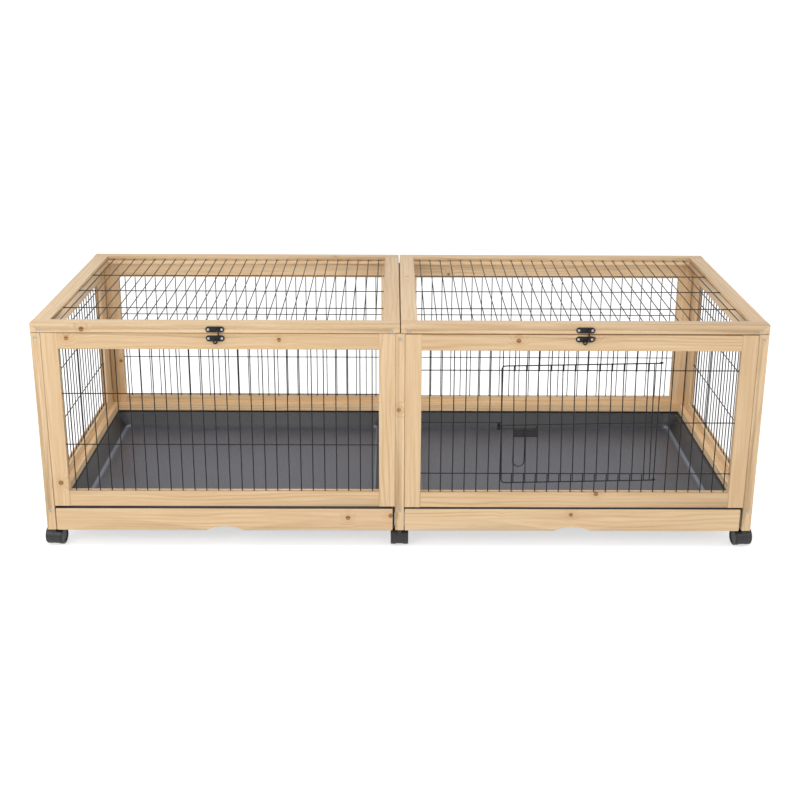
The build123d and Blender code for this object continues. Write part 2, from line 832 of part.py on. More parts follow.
board_front = panel_front
board_back = board_front + board_thickness
tray_y = (board_back, rear_face - board_thickness - tray_rear_clearance)
trays = {}
for side, bay in bays.items():
    middle_x = sum(bay) / 2 + tray_shift
    rim_width = bay_width - 2 * tray_side_clearance
    open_width = rim_width - 2 * tray_rim
    open_y = widened(tray_y, -tray_rim)
    floor_width = open_width - 2 * tray_slope
    floor_y = widened(open_y, -tray_slope)
    floor_top = rim_top - tray_depth + tray_wall
    floor_under = rim_top - tray_depth
    hollow = loft(
        [
            rounded_block(middle_x, floor_y, floor_width, floor_top, tray_floor_corner),
            rounded_block(middle_x, open_y, open_width, rim_top, tray_top_corner),
        ]
    )
    hollow = fillet(hollow.faces().sort_by(Axis.Z)[0].edges(), tray_floor_round)
    shell = loft(
        [
            rounded_block(
                middle_x,
                widened(floor_y, tray_wall),
                floor_width + 2 * tray_wall,
                floor_under,
                tray_floor_corner + tray_wall,
            ),
            rounded_block(
                middle_x,
                widened(open_y, tray_wall),
                open_width + 2 * tray_wall,
                rim_top,
                tray_top_corner + tray_wall,
            ),
        ]
    )
    rim = Pos(0, 0, -tray_wall) * extrude(
        rounded_block(middle_x, tray_y, rim_width, rim_top, tray_rim_corner), tray_wall
    )
    lip_x = (middle_x - open_width / 2, middle_x + open_width / 2)
    lip = block(lip_x, (tray_y[0], tray_y[0] + tray_wall), (rim_top - tray_lip, rim_top))
    tray = joined([shell, rim, lip]) - hollow

    front_width = bay_width - 2 * tray_front_clearance
    front_x = (middle_x - front_width / 2, middle_x + front_width / 2)
    front = block(front_x, (board_front, board_back), (board_bottom, board_top))
    front = fillet(front.edges().filter_by(Axis.Y), board_corner)
    front = fillet(front.faces().sort_by(Axis.Y)[0].edges(), edge_round)
    arch_radius = (finger_width**2 / 4 + finger_rise**2) / (2 * finger_rise)
    arch_z = board_bottom + finger_rise - arch_radius
    arch = rod(
        (middle_x, board_front - board_thickness, arch_z),
        (middle_x, board_back + board_thickness, arch_z),
        arch_radius,
    )
    front = front - arch

    screw_z = rim_under - tray_lip / 2
    screw_xs = (lip_x[0] + panel_screw_inset, middle_x, lip_x[1] - panel_screw_inset)
    screws = [small_screw((x, tray_y[0] + tray_wall, screw_z), (0, -1, 0)) for x in screw_xs]
    trays[side] = {
        "tray": drilled([tray], screws),
        "front": drilled([front], screws),
        "screws": screws,
    }

# Twin-wheel casters. Each is built trailing towards +Y under the origin, and then placed.
wheel_z = wheel_radius
web_half = caster_width / 2 - wheel_width - wheel_gap
socket_bottom = foot - socket_flange_height
stem_boss_top = socket_bottom - socket_gap
hood_inner = wheel_radius + hood_clearance
hood_outer = hood_inner + hood_thickness
hood_half = caster_width / 2 - hood_inset


def across(half):
    """The two ends of a bar along X through the wheels' centre."""
    return (-half, caster_trail, wheel_z), (half, caster_trail, wheel_z)


def caster_hood():
    """The web between the wheels, the hood over them, and the boss of the stem."""
    ring = rod(*across(hood_half), hood_outer) - rod(*across(hood_half), hood_inner)
    span = hood_outer * 2
    wedge = extrude(
        Plane.YZ
        * Pos(caster_trail, wheel_z)
        * Polygon(
            (0, 0),
            *[
                (
                    -span * math.cos(math.radians(hood_start_degrees + turn)),
                    span * math.sin(math.radians(hood_start_degrees + turn)),
                )
                for turn in (0, hood_sweep_degrees / 2, hood_sweep_degrees)
            ],
            align=None,
        ),
        hood_half,
        both=True,
    )
    hood = ring & wedge
    disc = rod(*across(web_half), web_radius)
    rib = rod(*across(web_half), hood_inner + hood_thickness / 2) & wedge
    boss = rod((0, 0, wheel_z), (0, 0, stem_boss_top), stem_boss_radius)
    boss = boss & block((-web_half, web_half), (-stem_boss_radius, stem_boss_radius), (0, foot))
    body = joined([hood, disc, rib, boss])
    stem_hole = rod((0, 0, wheel_z), (0, 0, foot), stem_radius + screw_clearance)
    axle_hole = rod(*across(caster_width), axle_radius + screw_clearance)
    return body - stem_hole - axle_hole


def caster_stem():
    return rod((0, 0, wheel_z), (0, 0, foot + stem_length), stem_radius)


def caster_axle():
    return rod(*across(web_half + wheel_gap + axle_bore_depth), axle_radius)


def caster_wheel(side):
    """One wheel, dished on its outer face and bored from its inner one."""
    inner_x = side * (web_half + wheel_gap)
    outer_x = side * caster_width / 2
    centre = (caster_trail, wheel_z)
    wheel = rod((inner_x, *centre), (outer_x, *centre), wheel_radius)
    wheel = fillet(wheel.edges().filter_by(GeomType.CIRCLE), wheel_edge_round)
    dish = rod((outer_x - side * wheel_dish, *centre), (outer_x + side, *centre), wheel_dish_radius)
    bore_end = inner_x + side * (axle_bore_depth + axle_radius / 2)
    bore = rod((inner_x - side, *centre), (bore_end, *centre), axle_radius + wheel_bore_clearance)
    return wheel - dish - bore


def caster_socket():
    """The plastic bush in the foot of a post."""
    bush = rod((0, 0, foot), (0, 0, foot + stem_length + socket_gap), socket_radius)
    flange = rod((0, 0, socket_bottom), (0, 0, foot), socket_flange_radius)
    bore = rod((0, 0, 0), (0, 0, foot + stem_length * 2), stem_radius + socket_bore_clearance)
    return bush + flange - bore


# The casters stand a little askew, alike at both sides, and trail towards the pen's middle.
caster_places = {}
turns = {"left": -caster_turn_degrees, "centre": 0.0, "right": caster_turn_degrees}
for row, y in swivel_y.items():
    about = 0.0 if row == "front" else 180.0
    mirror = 1 if row == "front" else -1
    for side, x in post_places().items():
        caster_places[f"{row}_{side}"] = Pos(x, y, 0) * Rot(0, 0, about + mirror * turns[side])

hoods, wheels, caster_sockets, socket_holes = {}, {}, [], []
for name, place in caster_places.items():
    hoods[name] = [place * caster_hood(), place * caster_stem(), place * caster_axle()]
    wheels[name] = [place * caster_wheel(-1), place * caster_wheel(1)]
    caster_sockets.append(place * caster_socket())
    top = foot + stem_length + socket_gap
    hole = place * rod((0, 0, foot - socket_gap), (0, 0, top), socket_radius + screw_clearance)
    socket_holes.append({"hole": hole})

# Drill the timber for its screws and the casters' sockets.
front_posts = drilled(posts(front_post_span), frame_screws + socket_holes)
rear_posts = drilled(posts(rear_post_span), frame_screws + socket_holes)
front_rails = drilled(front_rails, frame_screws)
front_stiles = drilled(front_stiles, frame_screws)
rear_rails = drilled(rear_rails, frame_screws)
rear_stiles = drilled(rear_stiles, frame_screws)
side_rails = drilled(side_rails, frame_screws)
side_stiles = drilled(side_stiles, frame_screws)
skirt_boards = drilled(skirt_boards, frame_screws)
centre_beams = drilled(centre_beams, frame_screws)
for lid in lids.values():
    lid["rails"] = drilled(lid["rails"], lid["screws"])
    lid["stiles"] = drilled(lid["stiles"], lid["screws"])


def screws_of(holders):
    return [holder["screw"] for holder in holders]


nodes = {
    "front_posts": front_posts,
    "rear_posts": rear_posts,
    "front_rails": front_rails,
    "front_stiles": front_stiles,
    "front_left_mesh": [meshes["front_left"]],
    "front_right_mesh": [meshes["front_right"]],
    "rear_rails": rear_rails,
    "rear_stiles": rear_stiles,
    "rear_left_mesh": [meshes["rear_left"]],
    "rear_right_mesh": [meshes["rear_right"]],
    "side_rails": side_rails,
    "side_stiles": side_stiles,
    "left_side_mesh": [meshes["side_left"]],
    "right_side_mesh": [meshes["side_right"]],
    "skirt_boards": skirt_boards,
    "centre_beams": centre_beams,
    "guard_slats": guard_slats,
    "tray_runners": tray_runners,
    "frame_screws": screws_of(frame_screws),
    "frame_hinge_leaves": frame_leaves,
    "hinge_pins": hinge_pins,
    "latch_keepers": keepers,
    "caster_sockets": caster_sockets,
    "wire_door": [wire_door],
    "door_latch_plate": [latch_sheet_piece],
    "door_bolt": [door_bolt],
    "door_catch": [door_catch],
}
for side in bays:
    nodes[f"{side}_lid_rails"] = lids[side]["rails"]
    nodes[f"{side}_lid_stiles"] = lids[side]["stiles"]
    nodes[f"{side}_lid_mesh"] = [lids[side]["mesh"]]
    nodes[f"{side}_lid_hinge_leaves"] = lids[side]["leaves"]
    nodes[f"{side}_lid_screws"] = screws_of(lids[side]["screws"])
    nodes[f"{side}_hook_plate"] = lids[side]["latch"]
    nodes[f"{side}_hook"] = [lids[side]["hook"]]
    nodes[f"{side}_tray"] = trays[side]["tray"]
    nodes[f"{side}_tray_front"] = trays[side]["front"]
    nodes[f"{side}_tray_screws"] = screws_of(trays[side]["screws"])
for name in caster_places:
    nodes[f"{name}_caster_hood"] = hoods[name]
    nodes[f"{name}_caster_wheels"] = wheels[name]

os.makedirs("parts", exist_ok=True)
for name, solids in nodes.items():
    flat = [solid for piece in solids for solid in piece.solids()]
    export_step(Compound(children=flat), f"parts/{name}.step")

# Places and axes that the joints need
print("lid hinge", hinge_y, hinge_z)
for side in bays:
    print(side, "hook pivot", lids[side]["pivot"])
print("door hinge", door_right, hinge_wire_y, "hole", door_hole, "front", door_front_y)
print("bolt", bolt_tip, bolt_y, bolt_z, "handle", handle_left, handle_right, handle_bottom)
for name, place in caster_places.items():
    axle = place * Pos(0, caster_trail, wheel_z)
    print(name, "swivel", place.position, "axle", axle.position, "turn", place.orientation)
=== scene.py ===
import json
import math
import random

import bmesh
import bpy
from mathutils import Matrix, Vector


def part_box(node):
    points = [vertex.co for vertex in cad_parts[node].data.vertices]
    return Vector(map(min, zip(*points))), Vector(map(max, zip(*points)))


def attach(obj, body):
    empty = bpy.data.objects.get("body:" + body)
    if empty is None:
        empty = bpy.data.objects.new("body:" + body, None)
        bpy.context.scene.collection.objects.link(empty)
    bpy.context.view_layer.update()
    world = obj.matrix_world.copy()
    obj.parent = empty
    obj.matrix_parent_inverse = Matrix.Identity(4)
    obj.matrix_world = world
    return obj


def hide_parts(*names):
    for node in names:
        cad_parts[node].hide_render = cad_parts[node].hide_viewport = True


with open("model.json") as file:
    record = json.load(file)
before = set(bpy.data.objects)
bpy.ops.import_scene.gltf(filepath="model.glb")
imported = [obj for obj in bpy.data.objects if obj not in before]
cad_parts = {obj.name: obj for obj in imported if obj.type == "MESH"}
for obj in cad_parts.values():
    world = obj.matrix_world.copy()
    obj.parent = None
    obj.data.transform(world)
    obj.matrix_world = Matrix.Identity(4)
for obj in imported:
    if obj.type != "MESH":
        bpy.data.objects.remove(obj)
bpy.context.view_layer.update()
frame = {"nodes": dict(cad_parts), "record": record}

MM = 0.001
nodes = frame["nodes"]
node_body = {}
for body, members in frame["record"]["behaviour"]["bodies"].items():
    for member in members:
        node_body[member] = body

# Linear colours
PINE_PALE = (0.90, 0.685, 0.43)
PINE_MIDDLE = (0.82, 0.575, 0.325)
PINE_DARK = (0.52, 0.285, 0.115)
KNOT_DARK = (0.20, 0.072, 0.022)
KNOT_RING = (0.50, 0.24, 0.085)
WIRE_BLACK = (0.004, 0.004, 0.0045)
LATCH_BLACK = (0.006, 0.006, 0.0065)
STEEL_GREY = (0.55, 0.55, 0.56)
# Painted shade on the tray's walls and on the feet of its front and rear walls
TRAY_PAINTED_SHADE = (0.012, 0.013, 0.014)
TRAY_DARK = (0.032, 0.034, 0.043)
TRAY_LIGHT = (0.125, 0.131, 0.160)
# Painted highlight along the feet of the tray's side walls
TRAY_PAINTED_HIGHLIGHT = (0.17, 0.19, 0.235)
CASTER_BLACK = (0.012, 0.012, 0.013)
WHEEL_GREY = (0.022, 0.022, 0.025)
FLOOR_WHITE = (0.90, 0.90, 0.90)
FLOOR_GLOW = 0.60

# Knots on the front faces: X and Z of the place, and the radius, in millimetres
FRONT_KNOTS = [
    (-646.1, 487.7, 4.4),
    (-677.9, 468.7, 4.2),
    (-246.5, 465.7, 3.8),
    (241.0, 465.1, 4.6),
    (393.3, 469.8, 4.0),
    (-713.2, 151.0, 4.8),
    (415.4, 128.5, 4.4),
    (-1.6, 315.8, 3.8),
    (-109.8, 71.9, 4.4),
    (-19.0, 77.0, 4.6),
    (364.7, 80.0, 4.0),
]
FRONT_Y = -319.6
HIDDEN_KNOT_CHANCE = 0.5
HIDDEN_KNOT_RADII = (2.2, 3.8)
GRAIN_START = 20.0
KNOT_ALONG = 0.4
KNOT_ACROSS = 0.3

# Meshes, in metres and degrees
BOARD_WELD = 0.00001
SCREW_WELD = 0.000005
SHARP_ANGLE = 32

# The cross in a screw's head, as shares of the head's width, and its depth in metres
RECESS_WIDTH = 0.14
RECESS_LENGTH = 0.56
RECESS_DEPTH = 0.0006
HEAD_SHARE = 0.45

# Details of the trays, in metres
BEAD_INSET = 0.0435
BEAD_RADIUS = 0.0012
BEAD_CORNER = 0.012
BEAD_STEPS = 8
TRAY_INSIDE_DEPTH = 0.030
TRAY_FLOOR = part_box("left_tray")[1].z - TRAY_INSIDE_DEPTH
FOOT_WIDTH = 0.0045
STRIP_SETBACK = 0.0008
STRIP_CLEARANCE = 0.0001
# Black strips behind the ends of each tray front: painted shade for the gaps beside it
SHADE_STRIP_THICKNESS = 0.0015
SHADE_STRIP_REACH_LEFT = 0.0006
SHADE_STRIP_REACH_RIGHT = 0.0042
SHADE_STRIP_LAP = 0.012
RIM_THICKNESS = 0.002

# Studio: brightness, sizes in metres, places in metres
FLOOR_SIZE = 80.0
SKY_LIGHT = 0.54
SKY_SEEN = 1.0
FRONT_LAMP = (1.5, 0.9)
TOP_LAMP = (2.4, 1.2)
FILL_LAMP = (0.55, 0.12)
BAY_MIDDLES = {"left": -0.375, "right": 0.375}

# Camera, from the perspective of the pen's edges in the photo
CAMERA_PLACE = Vector((-17.0, -2881.6, 1216.4)) * MM
CAMERA_PITCH = math.radians(-18.934)
CAMERA_YAW = math.radians(-0.3745)
CAMERA_ROLL = math.radians(0.2704)
CAMERA_LENS = 59.09
CAMERA_SENSOR = 36.0
CAMERA_FAR = 200.0

# Knots of all boards: place in metres, and radius in millimetres
knots = [(Vector((x, FRONT_Y, z)) * MM, radius) for x, z, radius in FRONT_KNOTS]


# Shader helpers
class Shader:
    """A new material with short ways to add and join its nodes."""

    def __init__(self, name):
        self.material = bpy.data.materials.new(name)
        self.material.use_nodes = True
        self.tree = self.material.node_tree
        self.surface = self.tree.nodes["Principled BSDF"]

    def add(self, kind, **settings):
        node = self.tree.nodes.new(kind)
        for key, value in settings.items():
            setattr(node, key, value)
        return node

    def feed(self, socket, value):
        """Link an output into a socket, or set the socket's own value."""
        if isinstance(value, bpy.types.NodeSocket):
            self.tree.links.new(value, socket)
        else:
            socket.default_value = value

    def math(self, operation, first, second=0.0, third=0.0):
        node = self.add("ShaderNodeMath", operation=operation)
        for socket, value in zip(node.inputs, (first, second, third)):
            self.feed(socket, value)
        return node.outputs[0]

    def vector_math(self, operation, first, second=(0.0, 0.0, 0.0)):
        node = self.add("ShaderNodeVectorMath", operation=operation)
        self.feed(node.inputs[0], first)
        self.feed(node.inputs[1], second)
        return node.outputs[1] if operation == "LENGTH" else node.outputs[0]

    def noise(self, coordinates, scale=1.0, detail=2.0, roughness=0.5):
        node = self.add("ShaderNodeTexNoise")
        self.feed(node.inputs["Vector"], coordinates)
        self.feed(node.inputs["Scale"], scale)
        self.feed(node.inputs["Detail"], detail)
        self.feed(node.inputs["Roughness"], roughness)
        return node.outputs["Fac"]

    def grain_noise(self, coordinates, along, across, detail=2.0, roughness=0.5):
        """Noise drawn out along the first axis. along and across are its rates per metre."""
        drawn = self.vector_math("MULTIPLY", coordinates, (along, across, across))
        return self.noise(drawn, detail=detail, roughness=roughness)

    def between(self, value, low, high, out_low=0.0, out_high=1.0):
        node = self.add("ShaderNodeMapRange", interpolation_type="SMOOTHSTEP")
        for socket, number in zip(node.inputs, (value, low, high, out_low, out_high)):
            self.feed(socket, number)
        return node.outputs[0]

    def mix(self, factor, first, second):
        node = self.add("ShaderNodeMix", data_type="RGBA")
        self.feed(node.inputs[0], factor)
        self.feed(node.inputs[6], first if hasattr(first, "node") else (*first, 1.0))
        self.feed(node.inputs[7], second if hasattr(second, "node") else (*second, 1.0))
        return node.outputs[2]

    def bump(self, height, strength, distance):
        node = self.add("ShaderNodeBump")
        self.feed(node.inputs["Strength"], strength)
        self.feed(node.inputs["Distance"], distance)
        self.feed(node.inputs["Height"], height)
        self.feed(self.surface.inputs["Normal"], node.outputs[0])

    def set(self, **values):
        for name, value in values.items():
            self.feed(self.surface.inputs[name.replace("_", " ")], value)

    def place(self):
        return self.add("ShaderNodeTexCoord").outputs["Object"]


def pine_material():
    """Clear-coated pine. The grain attribute runs along each board, in metres."""
    s = Shader("pine")
    grain = s.add("ShaderNodeAttribute", attribute_name="grain").outputs["Vector"]
    tone = s.add("ShaderNodeAttribute", attribute_name="tone").outputs["Fac"]
    place = s.place()

    # Knots at fixed places bend the rings round them.
    warp = s.grain_noise(place, along=60.0, across=60.0)
    knot_near, knot_core = 0.0, 0.0
    for centre, radius in knots:
        gap = s.vector_math("SUBTRACT", place, centre)
        distance = s.vector_math("LENGTH", gap)
        distance = s.math("MULTIPLY_ADD", warp, radius * 0.5 * MM, distance)
        near = s.between(distance, radius * 6.0 * MM, radius * 0.8 * MM)
        core = s.between(distance, radius * 1.60 * MM, radius * 1.15 * MM)
        knot_near = s.math("MAXIMUM", knot_near, near)
        knot_core = s.math("MAXIMUM", knot_core, core)

    # Growth rings cut lengthwise: long wavy bands, a few millimetres apart
    ring_rate, ring_sway, ring_bend = 620.0, 34.0, 11.0
    sway = s.grain_noise(grain, along=2.2, across=16.0)
    across = s.add("ShaderNodeSeparateXYZ")
    s.feed(across.inputs[0], grain)
    phase = s.math("ADD", across.outputs[1], s.math("MULTIPLY", across.outputs[2], 0.6))
    phase = s.math("MULTIPLY", phase, ring_rate)
    phase = s.math("MULTIPLY_ADD", sway, ring_sway, phase)
    phase = s.math("MULTIPLY_ADD", knot_near, ring_bend, phase)
    wave = s.math("SINE", phase)
    rings = s.between(wave, -0.2, 1.0)
    fade = s.grain_noise(grain, along=1.6, across=40.0, detail=3.0)
    rings = s.math("MULTIPLY", rings, s.between(fade, 0.30, 0.72))

    streaks = s.grain_noise(grain, along=5.0, across=150.0, detail=4.0, roughness=0.6)
    fibres = s.grain_noise(grain, along=28.0, across=1500.0, detail=3.0, roughness=0.6)
    clouds = s.grain_noise(grain, along=3.0, across=12.0)

    # From pale wood to its darker streaks, rings, clouds, fibres and knots
    colour = s.mix(s.between(streaks, 0.30, 0.70), PINE_PALE, PINE_MIDDLE)
    colour = s.mix(s.math("MULTIPLY", rings, 0.40), colour, PINE_DARK)
    colour = s.mix(s.between(clouds, 0.45, 0.85, 0.0, 0.30), colour, PINE_DARK)
    colour = s.mix(s.between(fibres, 0.42, 0.80, 0.0, 0.26), colour, PINE_DARK)
    colour = s.mix(s.math("MULTIPLY", tone, 0.22), colour, PINE_DARK)
    colour = s.mix(s.math("MULTIPLY", knot_near, 0.20), colour, KNOT_RING)
    knot_rings = s.math("SINE", s.math("MULTIPLY", phase, 2.0))
    knot_colour = s.mix(s.between(knot_rings, -1.0, 1.0), KNOT_DARK, KNOT_RING)
    colour = s.mix(knot_core, colour, knot_colour)
    s.set(Base_Color=colour, Roughness=0.46, Specular_IOR_Level=0.5)
    height = s.math("ADD", s.math("MULTIPLY", fibres, 0.5), s.math("MULTIPLY", rings, 0.4))
    s.bump(height, strength=0.22, distance=0.0004)
    return s.material


def coated_metal(name, colour, roughness, unevenness):
    """Black coated wire or sheet, with a faint uneven coat."""
    s = Shader(name)
    spots = s.noise(s.place(), scale=900.0, detail=3.0, roughness=0.6)
    lighter = tuple(channel * 2.4 for channel in colour)
    s.set(Base_Color=s.mix(s.between(spots, 0.35, 0.75), colour, lighter))
    s.set(Roughness=roughness, Metallic=0.0, Specular_IOR_Level=0.28)
    s.bump(spots, strength=unevenness, distance=0.0002)
    return s.material


def steel_material():
    """Zinc-plated steel with faint brushing."""
    s = Shader("steel")
    drawn = s.vector_math("MULTIPLY", s.place(), (2500.0, 2500.0, 300.0))
    brushing = s.noise(drawn, detail=3.0)
    darker = tuple(channel * 0.6 for channel in STEEL_GREY)
    s.set(Base_Color=s.mix(brushing, STEEL_GREY, darker))
    s.set(Metallic=1.0, Roughness=s.between(brushing, 0.2, 0.8, 0.28, 0.46))
    s.bump(brushing, strength=0.1, distance=0.0001)
    return s.material


def tray_material():
    """Dark sheet plastic with a fine speckled texture, and painted shade and highlights on
    its walls.
    """
    s = Shader("tray_plastic")
    place = s.place()
    speckle = s.noise(place, scale=420.0, detail=4.0, roughness=0.7)
    broad = s.noise(place, scale=7.0, detail=3.0, roughness=0.6)
    colour = s.mix(s.between(speckle, 0.40, 0.68), TRAY_DARK, TRAY_LIGHT)
    colour = s.mix(s.between(broad, 0.35, 0.70, 0.0, 0.25), colour, TRAY_LIGHT)

    # Painted shade darkens the walls and the feet of the front and rear walls; a painted
    # highlight lightens the feet of the side walls.
    facing = s.add("ShaderNodeSeparateXYZ")
    s.feed(facing.inputs[0], s.add("ShaderNodeTexCoord").outputs["Normal"])
    level = s.add("ShaderNodeSeparateXYZ")
    s.feed(level.inputs[0], place)
    above_floor = s.math("SUBTRACT", level.outputs[2], TRAY_FLOOR)
    inside = s.between(above_floor, 0.0, FOOT_WIDTH * 0.3)
    foot = s.math("MULTIPLY", inside, s.between(above_floor, FOOT_WIDTH * 1.5, FOOT_WIDTH))
    sideways = s.between(s.math("ABSOLUTE", facing.outputs[0]), 0.15, 0.45)
    lengthwise = s.between(s.math("ABSOLUTE", facing.outputs[1]), 0.15, 0.45)
    walls = s.math("MULTIPLY", s.math("MAXIMUM", sideways, lengthwise), inside)
    # Painted shade on the walls
    colour = s.mix(s.math("MULTIPLY", walls, 0.85), colour, TRAY_PAINTED_SHADE)
    # Painted shadow along the feet of the front and rear walls
    painted_foot_shadow = s.math("MULTIPLY", lengthwise, foot)
    colour = s.mix(s.math("MULTIPLY", painted_foot_shadow, 0.7), colour, TRAY_PAINTED_SHADE)
    # Painted highlight along the feet of the side walls
    colour = s.mix(s.math("MULTIPLY", sideways, foot), colour, TRAY_PAINTED_HIGHLIGHT)
    s.set(Base_Color=colour, Roughness=s.between(broad, 0.2, 0.8, 0.36, 0.46))
    s.bump(speckle, strength=0.35, distance=0.0005)
    return s.material


def moulded_material(name, colour, roughness):
    """Dark moulded plastic with a fine grain."""
    s = Shader(name)
    grain = s.noise(s.place(), scale=1300.0, detail=3.0, roughness=0.6)
    lighter = tuple(channel * 1.9 for channel in colour)
    s.set(Base_Color=s.mix(s.between(grain, 0.3, 0.8), colour, lighter), Roughness=roughness)
    s.bump(grain, strength=0.15, distance=0.0002)
    return s.material


def floor_material():
    """A pale floor that the camera sees as white, with the pen's shadow kept."""
    s = Shader("floor_white")
    s.set(Base_Color=(*FLOOR_WHITE, 1.0), Roughness=0.9, Specular_IOR_Level=0.1)
    rays = s.add("ShaderNodeLightPath")
    seen = s.math("MAXIMUM", rays.outputs["Is Camera Ray"], rays.outputs["Is Glossy Ray"])
    seen = s.math("MAXIMUM", seen, rays.outputs["Is Transmission Ray"])
    s.set(Emission_Color=(1.0, 1.0, 1.0, 1.0))
    s.set(Emission_Strength=s.math("MULTIPLY", seen, FLOOR_GLOW))
    return s.material


# Pieces of the scene
def linked(name, data):
    """A new object in the scene."""
    holder = bpy.data.objects.new(name, data)
    bpy.context.scene.collection.objects.link(holder)
    return holder


def smooth(mesh, angle=180):
    """Shade a mesh smooth, with edges over an angle in degrees kept sharp."""
    mesh.polygons.foreach_set("use_smooth", [True] * len(mesh.polygons))
    if angle < 180:
        mesh.set_sharp_from_angle(angle=math.radians(angle))


def evaluated_mesh(holder):
    """The mesh of an object with its modifiers or bevel worked out."""
    bpy.context.view_layer.update()
    graph = bpy.context.evaluated_depsgraph_get()
    return bpy.data.meshes.new_from_object(holder.evaluated_get(graph))


def islands(mesh):
    """Groups of faces that hang together."""
    mesh.faces.ensure_lookup_table()
    seen = set()
    groups = []
    for face in mesh.faces:
        if face.index in seen:
            continue
        seen.add(face.index)
        stack, group = [face], []
        while stack:
            current = stack.pop()
            group.append(current)
            for edge in current.edges:
                for other in edge.link_faces:
                    if other.index not in seen:
                        seen.add(other.index)
                        stack.append(other)
        groups.append(group)
    return groups


def grained_piece(node):
    """A copy of a wooden node whose boards carry the grain and tone attributes."""
    work = bmesh.new()
    work.from_mesh(nodes[node].data)
    bmesh.ops.remove_doubles(work, verts=work.verts, dist=BOARD_WELD)
    grain = work.verts.layers.float_vector.new("grain")
    tone = work.verts.layers.float.new("tone")
    draw = random.Random(node)
    for group in islands(work):
        points = {vertex for face in group for vertex in face.verts}
        low = [min(point.co[axis] for point in points) for axis in range(3)]
        high = [max(point.co[axis] for point in points) for axis in range(3)]
        size = [high[axis] - low[axis] for axis in range(3)]
        order = sorted(range(3), key=lambda axis: -size[axis])
        start = [draw.uniform(-GRAIN_START, GRAIN_START) for axis in range(3)]
        shade = draw.uniform(0.0, 1.0)
        for point in points:
            point[grain] = [start[index] + point.co[order[index]] for index in range(3)]
            point[tone] = shade
        if draw.random() < HIDDEN_KNOT_CHANCE and not node.startswith(("front", "tray")):
            centre = Vector((low[axis] + high[axis]) / 2 for axis in range(3))
            centre[order[0]] += draw.uniform(-KNOT_ALONG, KNOT_ALONG) * size[order[0]]
            centre[order[1]] += draw.uniform(-KNOT_ACROSS, KNOT_ACROSS) * size[order[1]]
            centre[order[2]] = draw.choice((low, high))[order[2]]
            knots.append((centre, draw.uniform(*HIDDEN_KNOT_RADII)))
    mesh = bpy.data.meshes.new(node + "_boards")
    work.to_mesh(mesh)
    work.free()
    smooth(mesh, SHARP_ANGLE)
    piece = linked(node + "_boards", mesh)
    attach(piece, node_body[node])
    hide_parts(node)
    return piece


def added_piece(name, mesh, body, slot):
    """A new object that rides on a body and takes the finish of a slot."""
    piece = linked(name, mesh)
    mesh.materials.clear()
    mesh.materials.append(finishes[slot])
    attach(piece, body)
    return piece


def box_at(work, centre, size):
    """A box in a mesh under construction."""
    place = Matrix.Translation(centre) @ Matrix.Diagonal((*size, 1.0))
    bmesh.ops.create_cube(work, size=1.0, matrix=place)


def off_axis(point, middle, run):
    """How far a point lies from a screw's axis, which runs along one coordinate."""
    gap = point - middle
    gap[run] = 0.0
    return gap.length


def cross_cutters(screws):
    """Two crossed bars at the head of each screw."""
    cutters = bmesh.new()
    for group in islands(screws):
        points = [vertex.co for face in group for vertex in face.verts]
        low = Vector(min(point[axis] for point in points) for axis in range(3))
        high = Vector(max(point[axis] for point in points) for axis in range(3))
        size = high - low
        run = max(range(3), key=lambda axis: size[axis])
        widest = max(size[axis] for axis in range(3) if axis != run)
        middle = (low + high) / 2
        wide = [p[run] for p in points if off_axis(p, middle, run) > HEAD_SHARE * widest]
        head_is_high = sum(wide) / len(wide) > middle[run]
        centre = middle.copy()
        centre[run] = high[run] if head_is_high else low[run]
        for arm in range(3):
            if arm == run:
                continue
            bar = [RECESS_WIDTH * widest] * 3
            bar[arm] = RECESS_LENGTH * widest
            bar[run] = 2 * RECESS_DEPTH
            box_at(cutters, centre, bar)
    return cutters


def crossed_screws(node):
    """A copy of a node of screws, with a cross recess in each head."""
    work = bmesh.new()
    work.from_mesh(nodes[node].data)
    bmesh.ops.remove_doubles(work, verts=work.verts, dist=SCREW_WELD)
    cutters = cross_cutters(work)
    screws = bpy.data.meshes.new(node + "_crossed")
    work.to_mesh(screws)
    work.free()
    cutter_mesh = bpy.data.meshes.new(node + "_cutters")
    cutters.to_mesh(cutter_mesh)
    cutters.free()
    piece = added_piece(node + "_crossed", screws, node_body[node], "steel")
    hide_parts(node)
    cutter = linked(node + "_cutters", cutter_mesh)
    cut = piece.modifiers.new("recess", "BOOLEAN")
    cut.object = cutter
    cut.operation = "DIFFERENCE"
    cut.use_self = True
    shaped = evaluated_mesh(piece)
    piece.modifiers.clear()
    piece.data = shaped
    bpy.data.objects.remove(cutter)
    smooth(shaped, SHARP_ANGLE)
    return piece


def tray_bead(side):
    """A fine raised line round the tray's floor, where the walls begin."""
    low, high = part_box(side + "_tray")
    west, east = low.x + BEAD_INSET, high.x - BEAD_INSET
    south, north = low.y + BEAD_INSET, high.y - BEAD_INSET
    level = high.z - TRAY_INSIDE_DEPTH
    corners = [(east, north, 0), (west, north, 90), (west, south, 180), (east, south, 270)]
    curve = bpy.data.curves.new(side + "_tray_bead", "CURVE")
    curve.dimensions = "3D"
    curve.bevel_depth = BEAD_RADIUS
    curve.bevel_resolution = 2
    line = curve.splines.new("POLY")
    points = []
    for x, y, start in corners:
        inward_x = -BEAD_CORNER if x == east else BEAD_CORNER
        inward_y = -BEAD_CORNER if y == north else BEAD_CORNER
        for step in range(BEAD_STEPS + 1):
            angle = math.radians(start + 90.0 * step / BEAD_STEPS)
            px = x + inward_x + BEAD_CORNER * math.cos(angle)
            py = y + inward_y + BEAD_CORNER * math.sin(angle)
            points.append((px, py, level, 1.0))
    line.points.add(len(points) - 1)
    for point, place in zip(line.points, points):
        point.co = place
    line.use_cyclic_u = True
    holder = linked("bead_curve", curve)
    mesh = evaluated_mesh(holder)
    bpy.data.objects.remove(holder)
    smooth(mesh)
    return added_piece(side + "_tray_bead", mesh, side + "_tray_drawer", "tray_plastic")


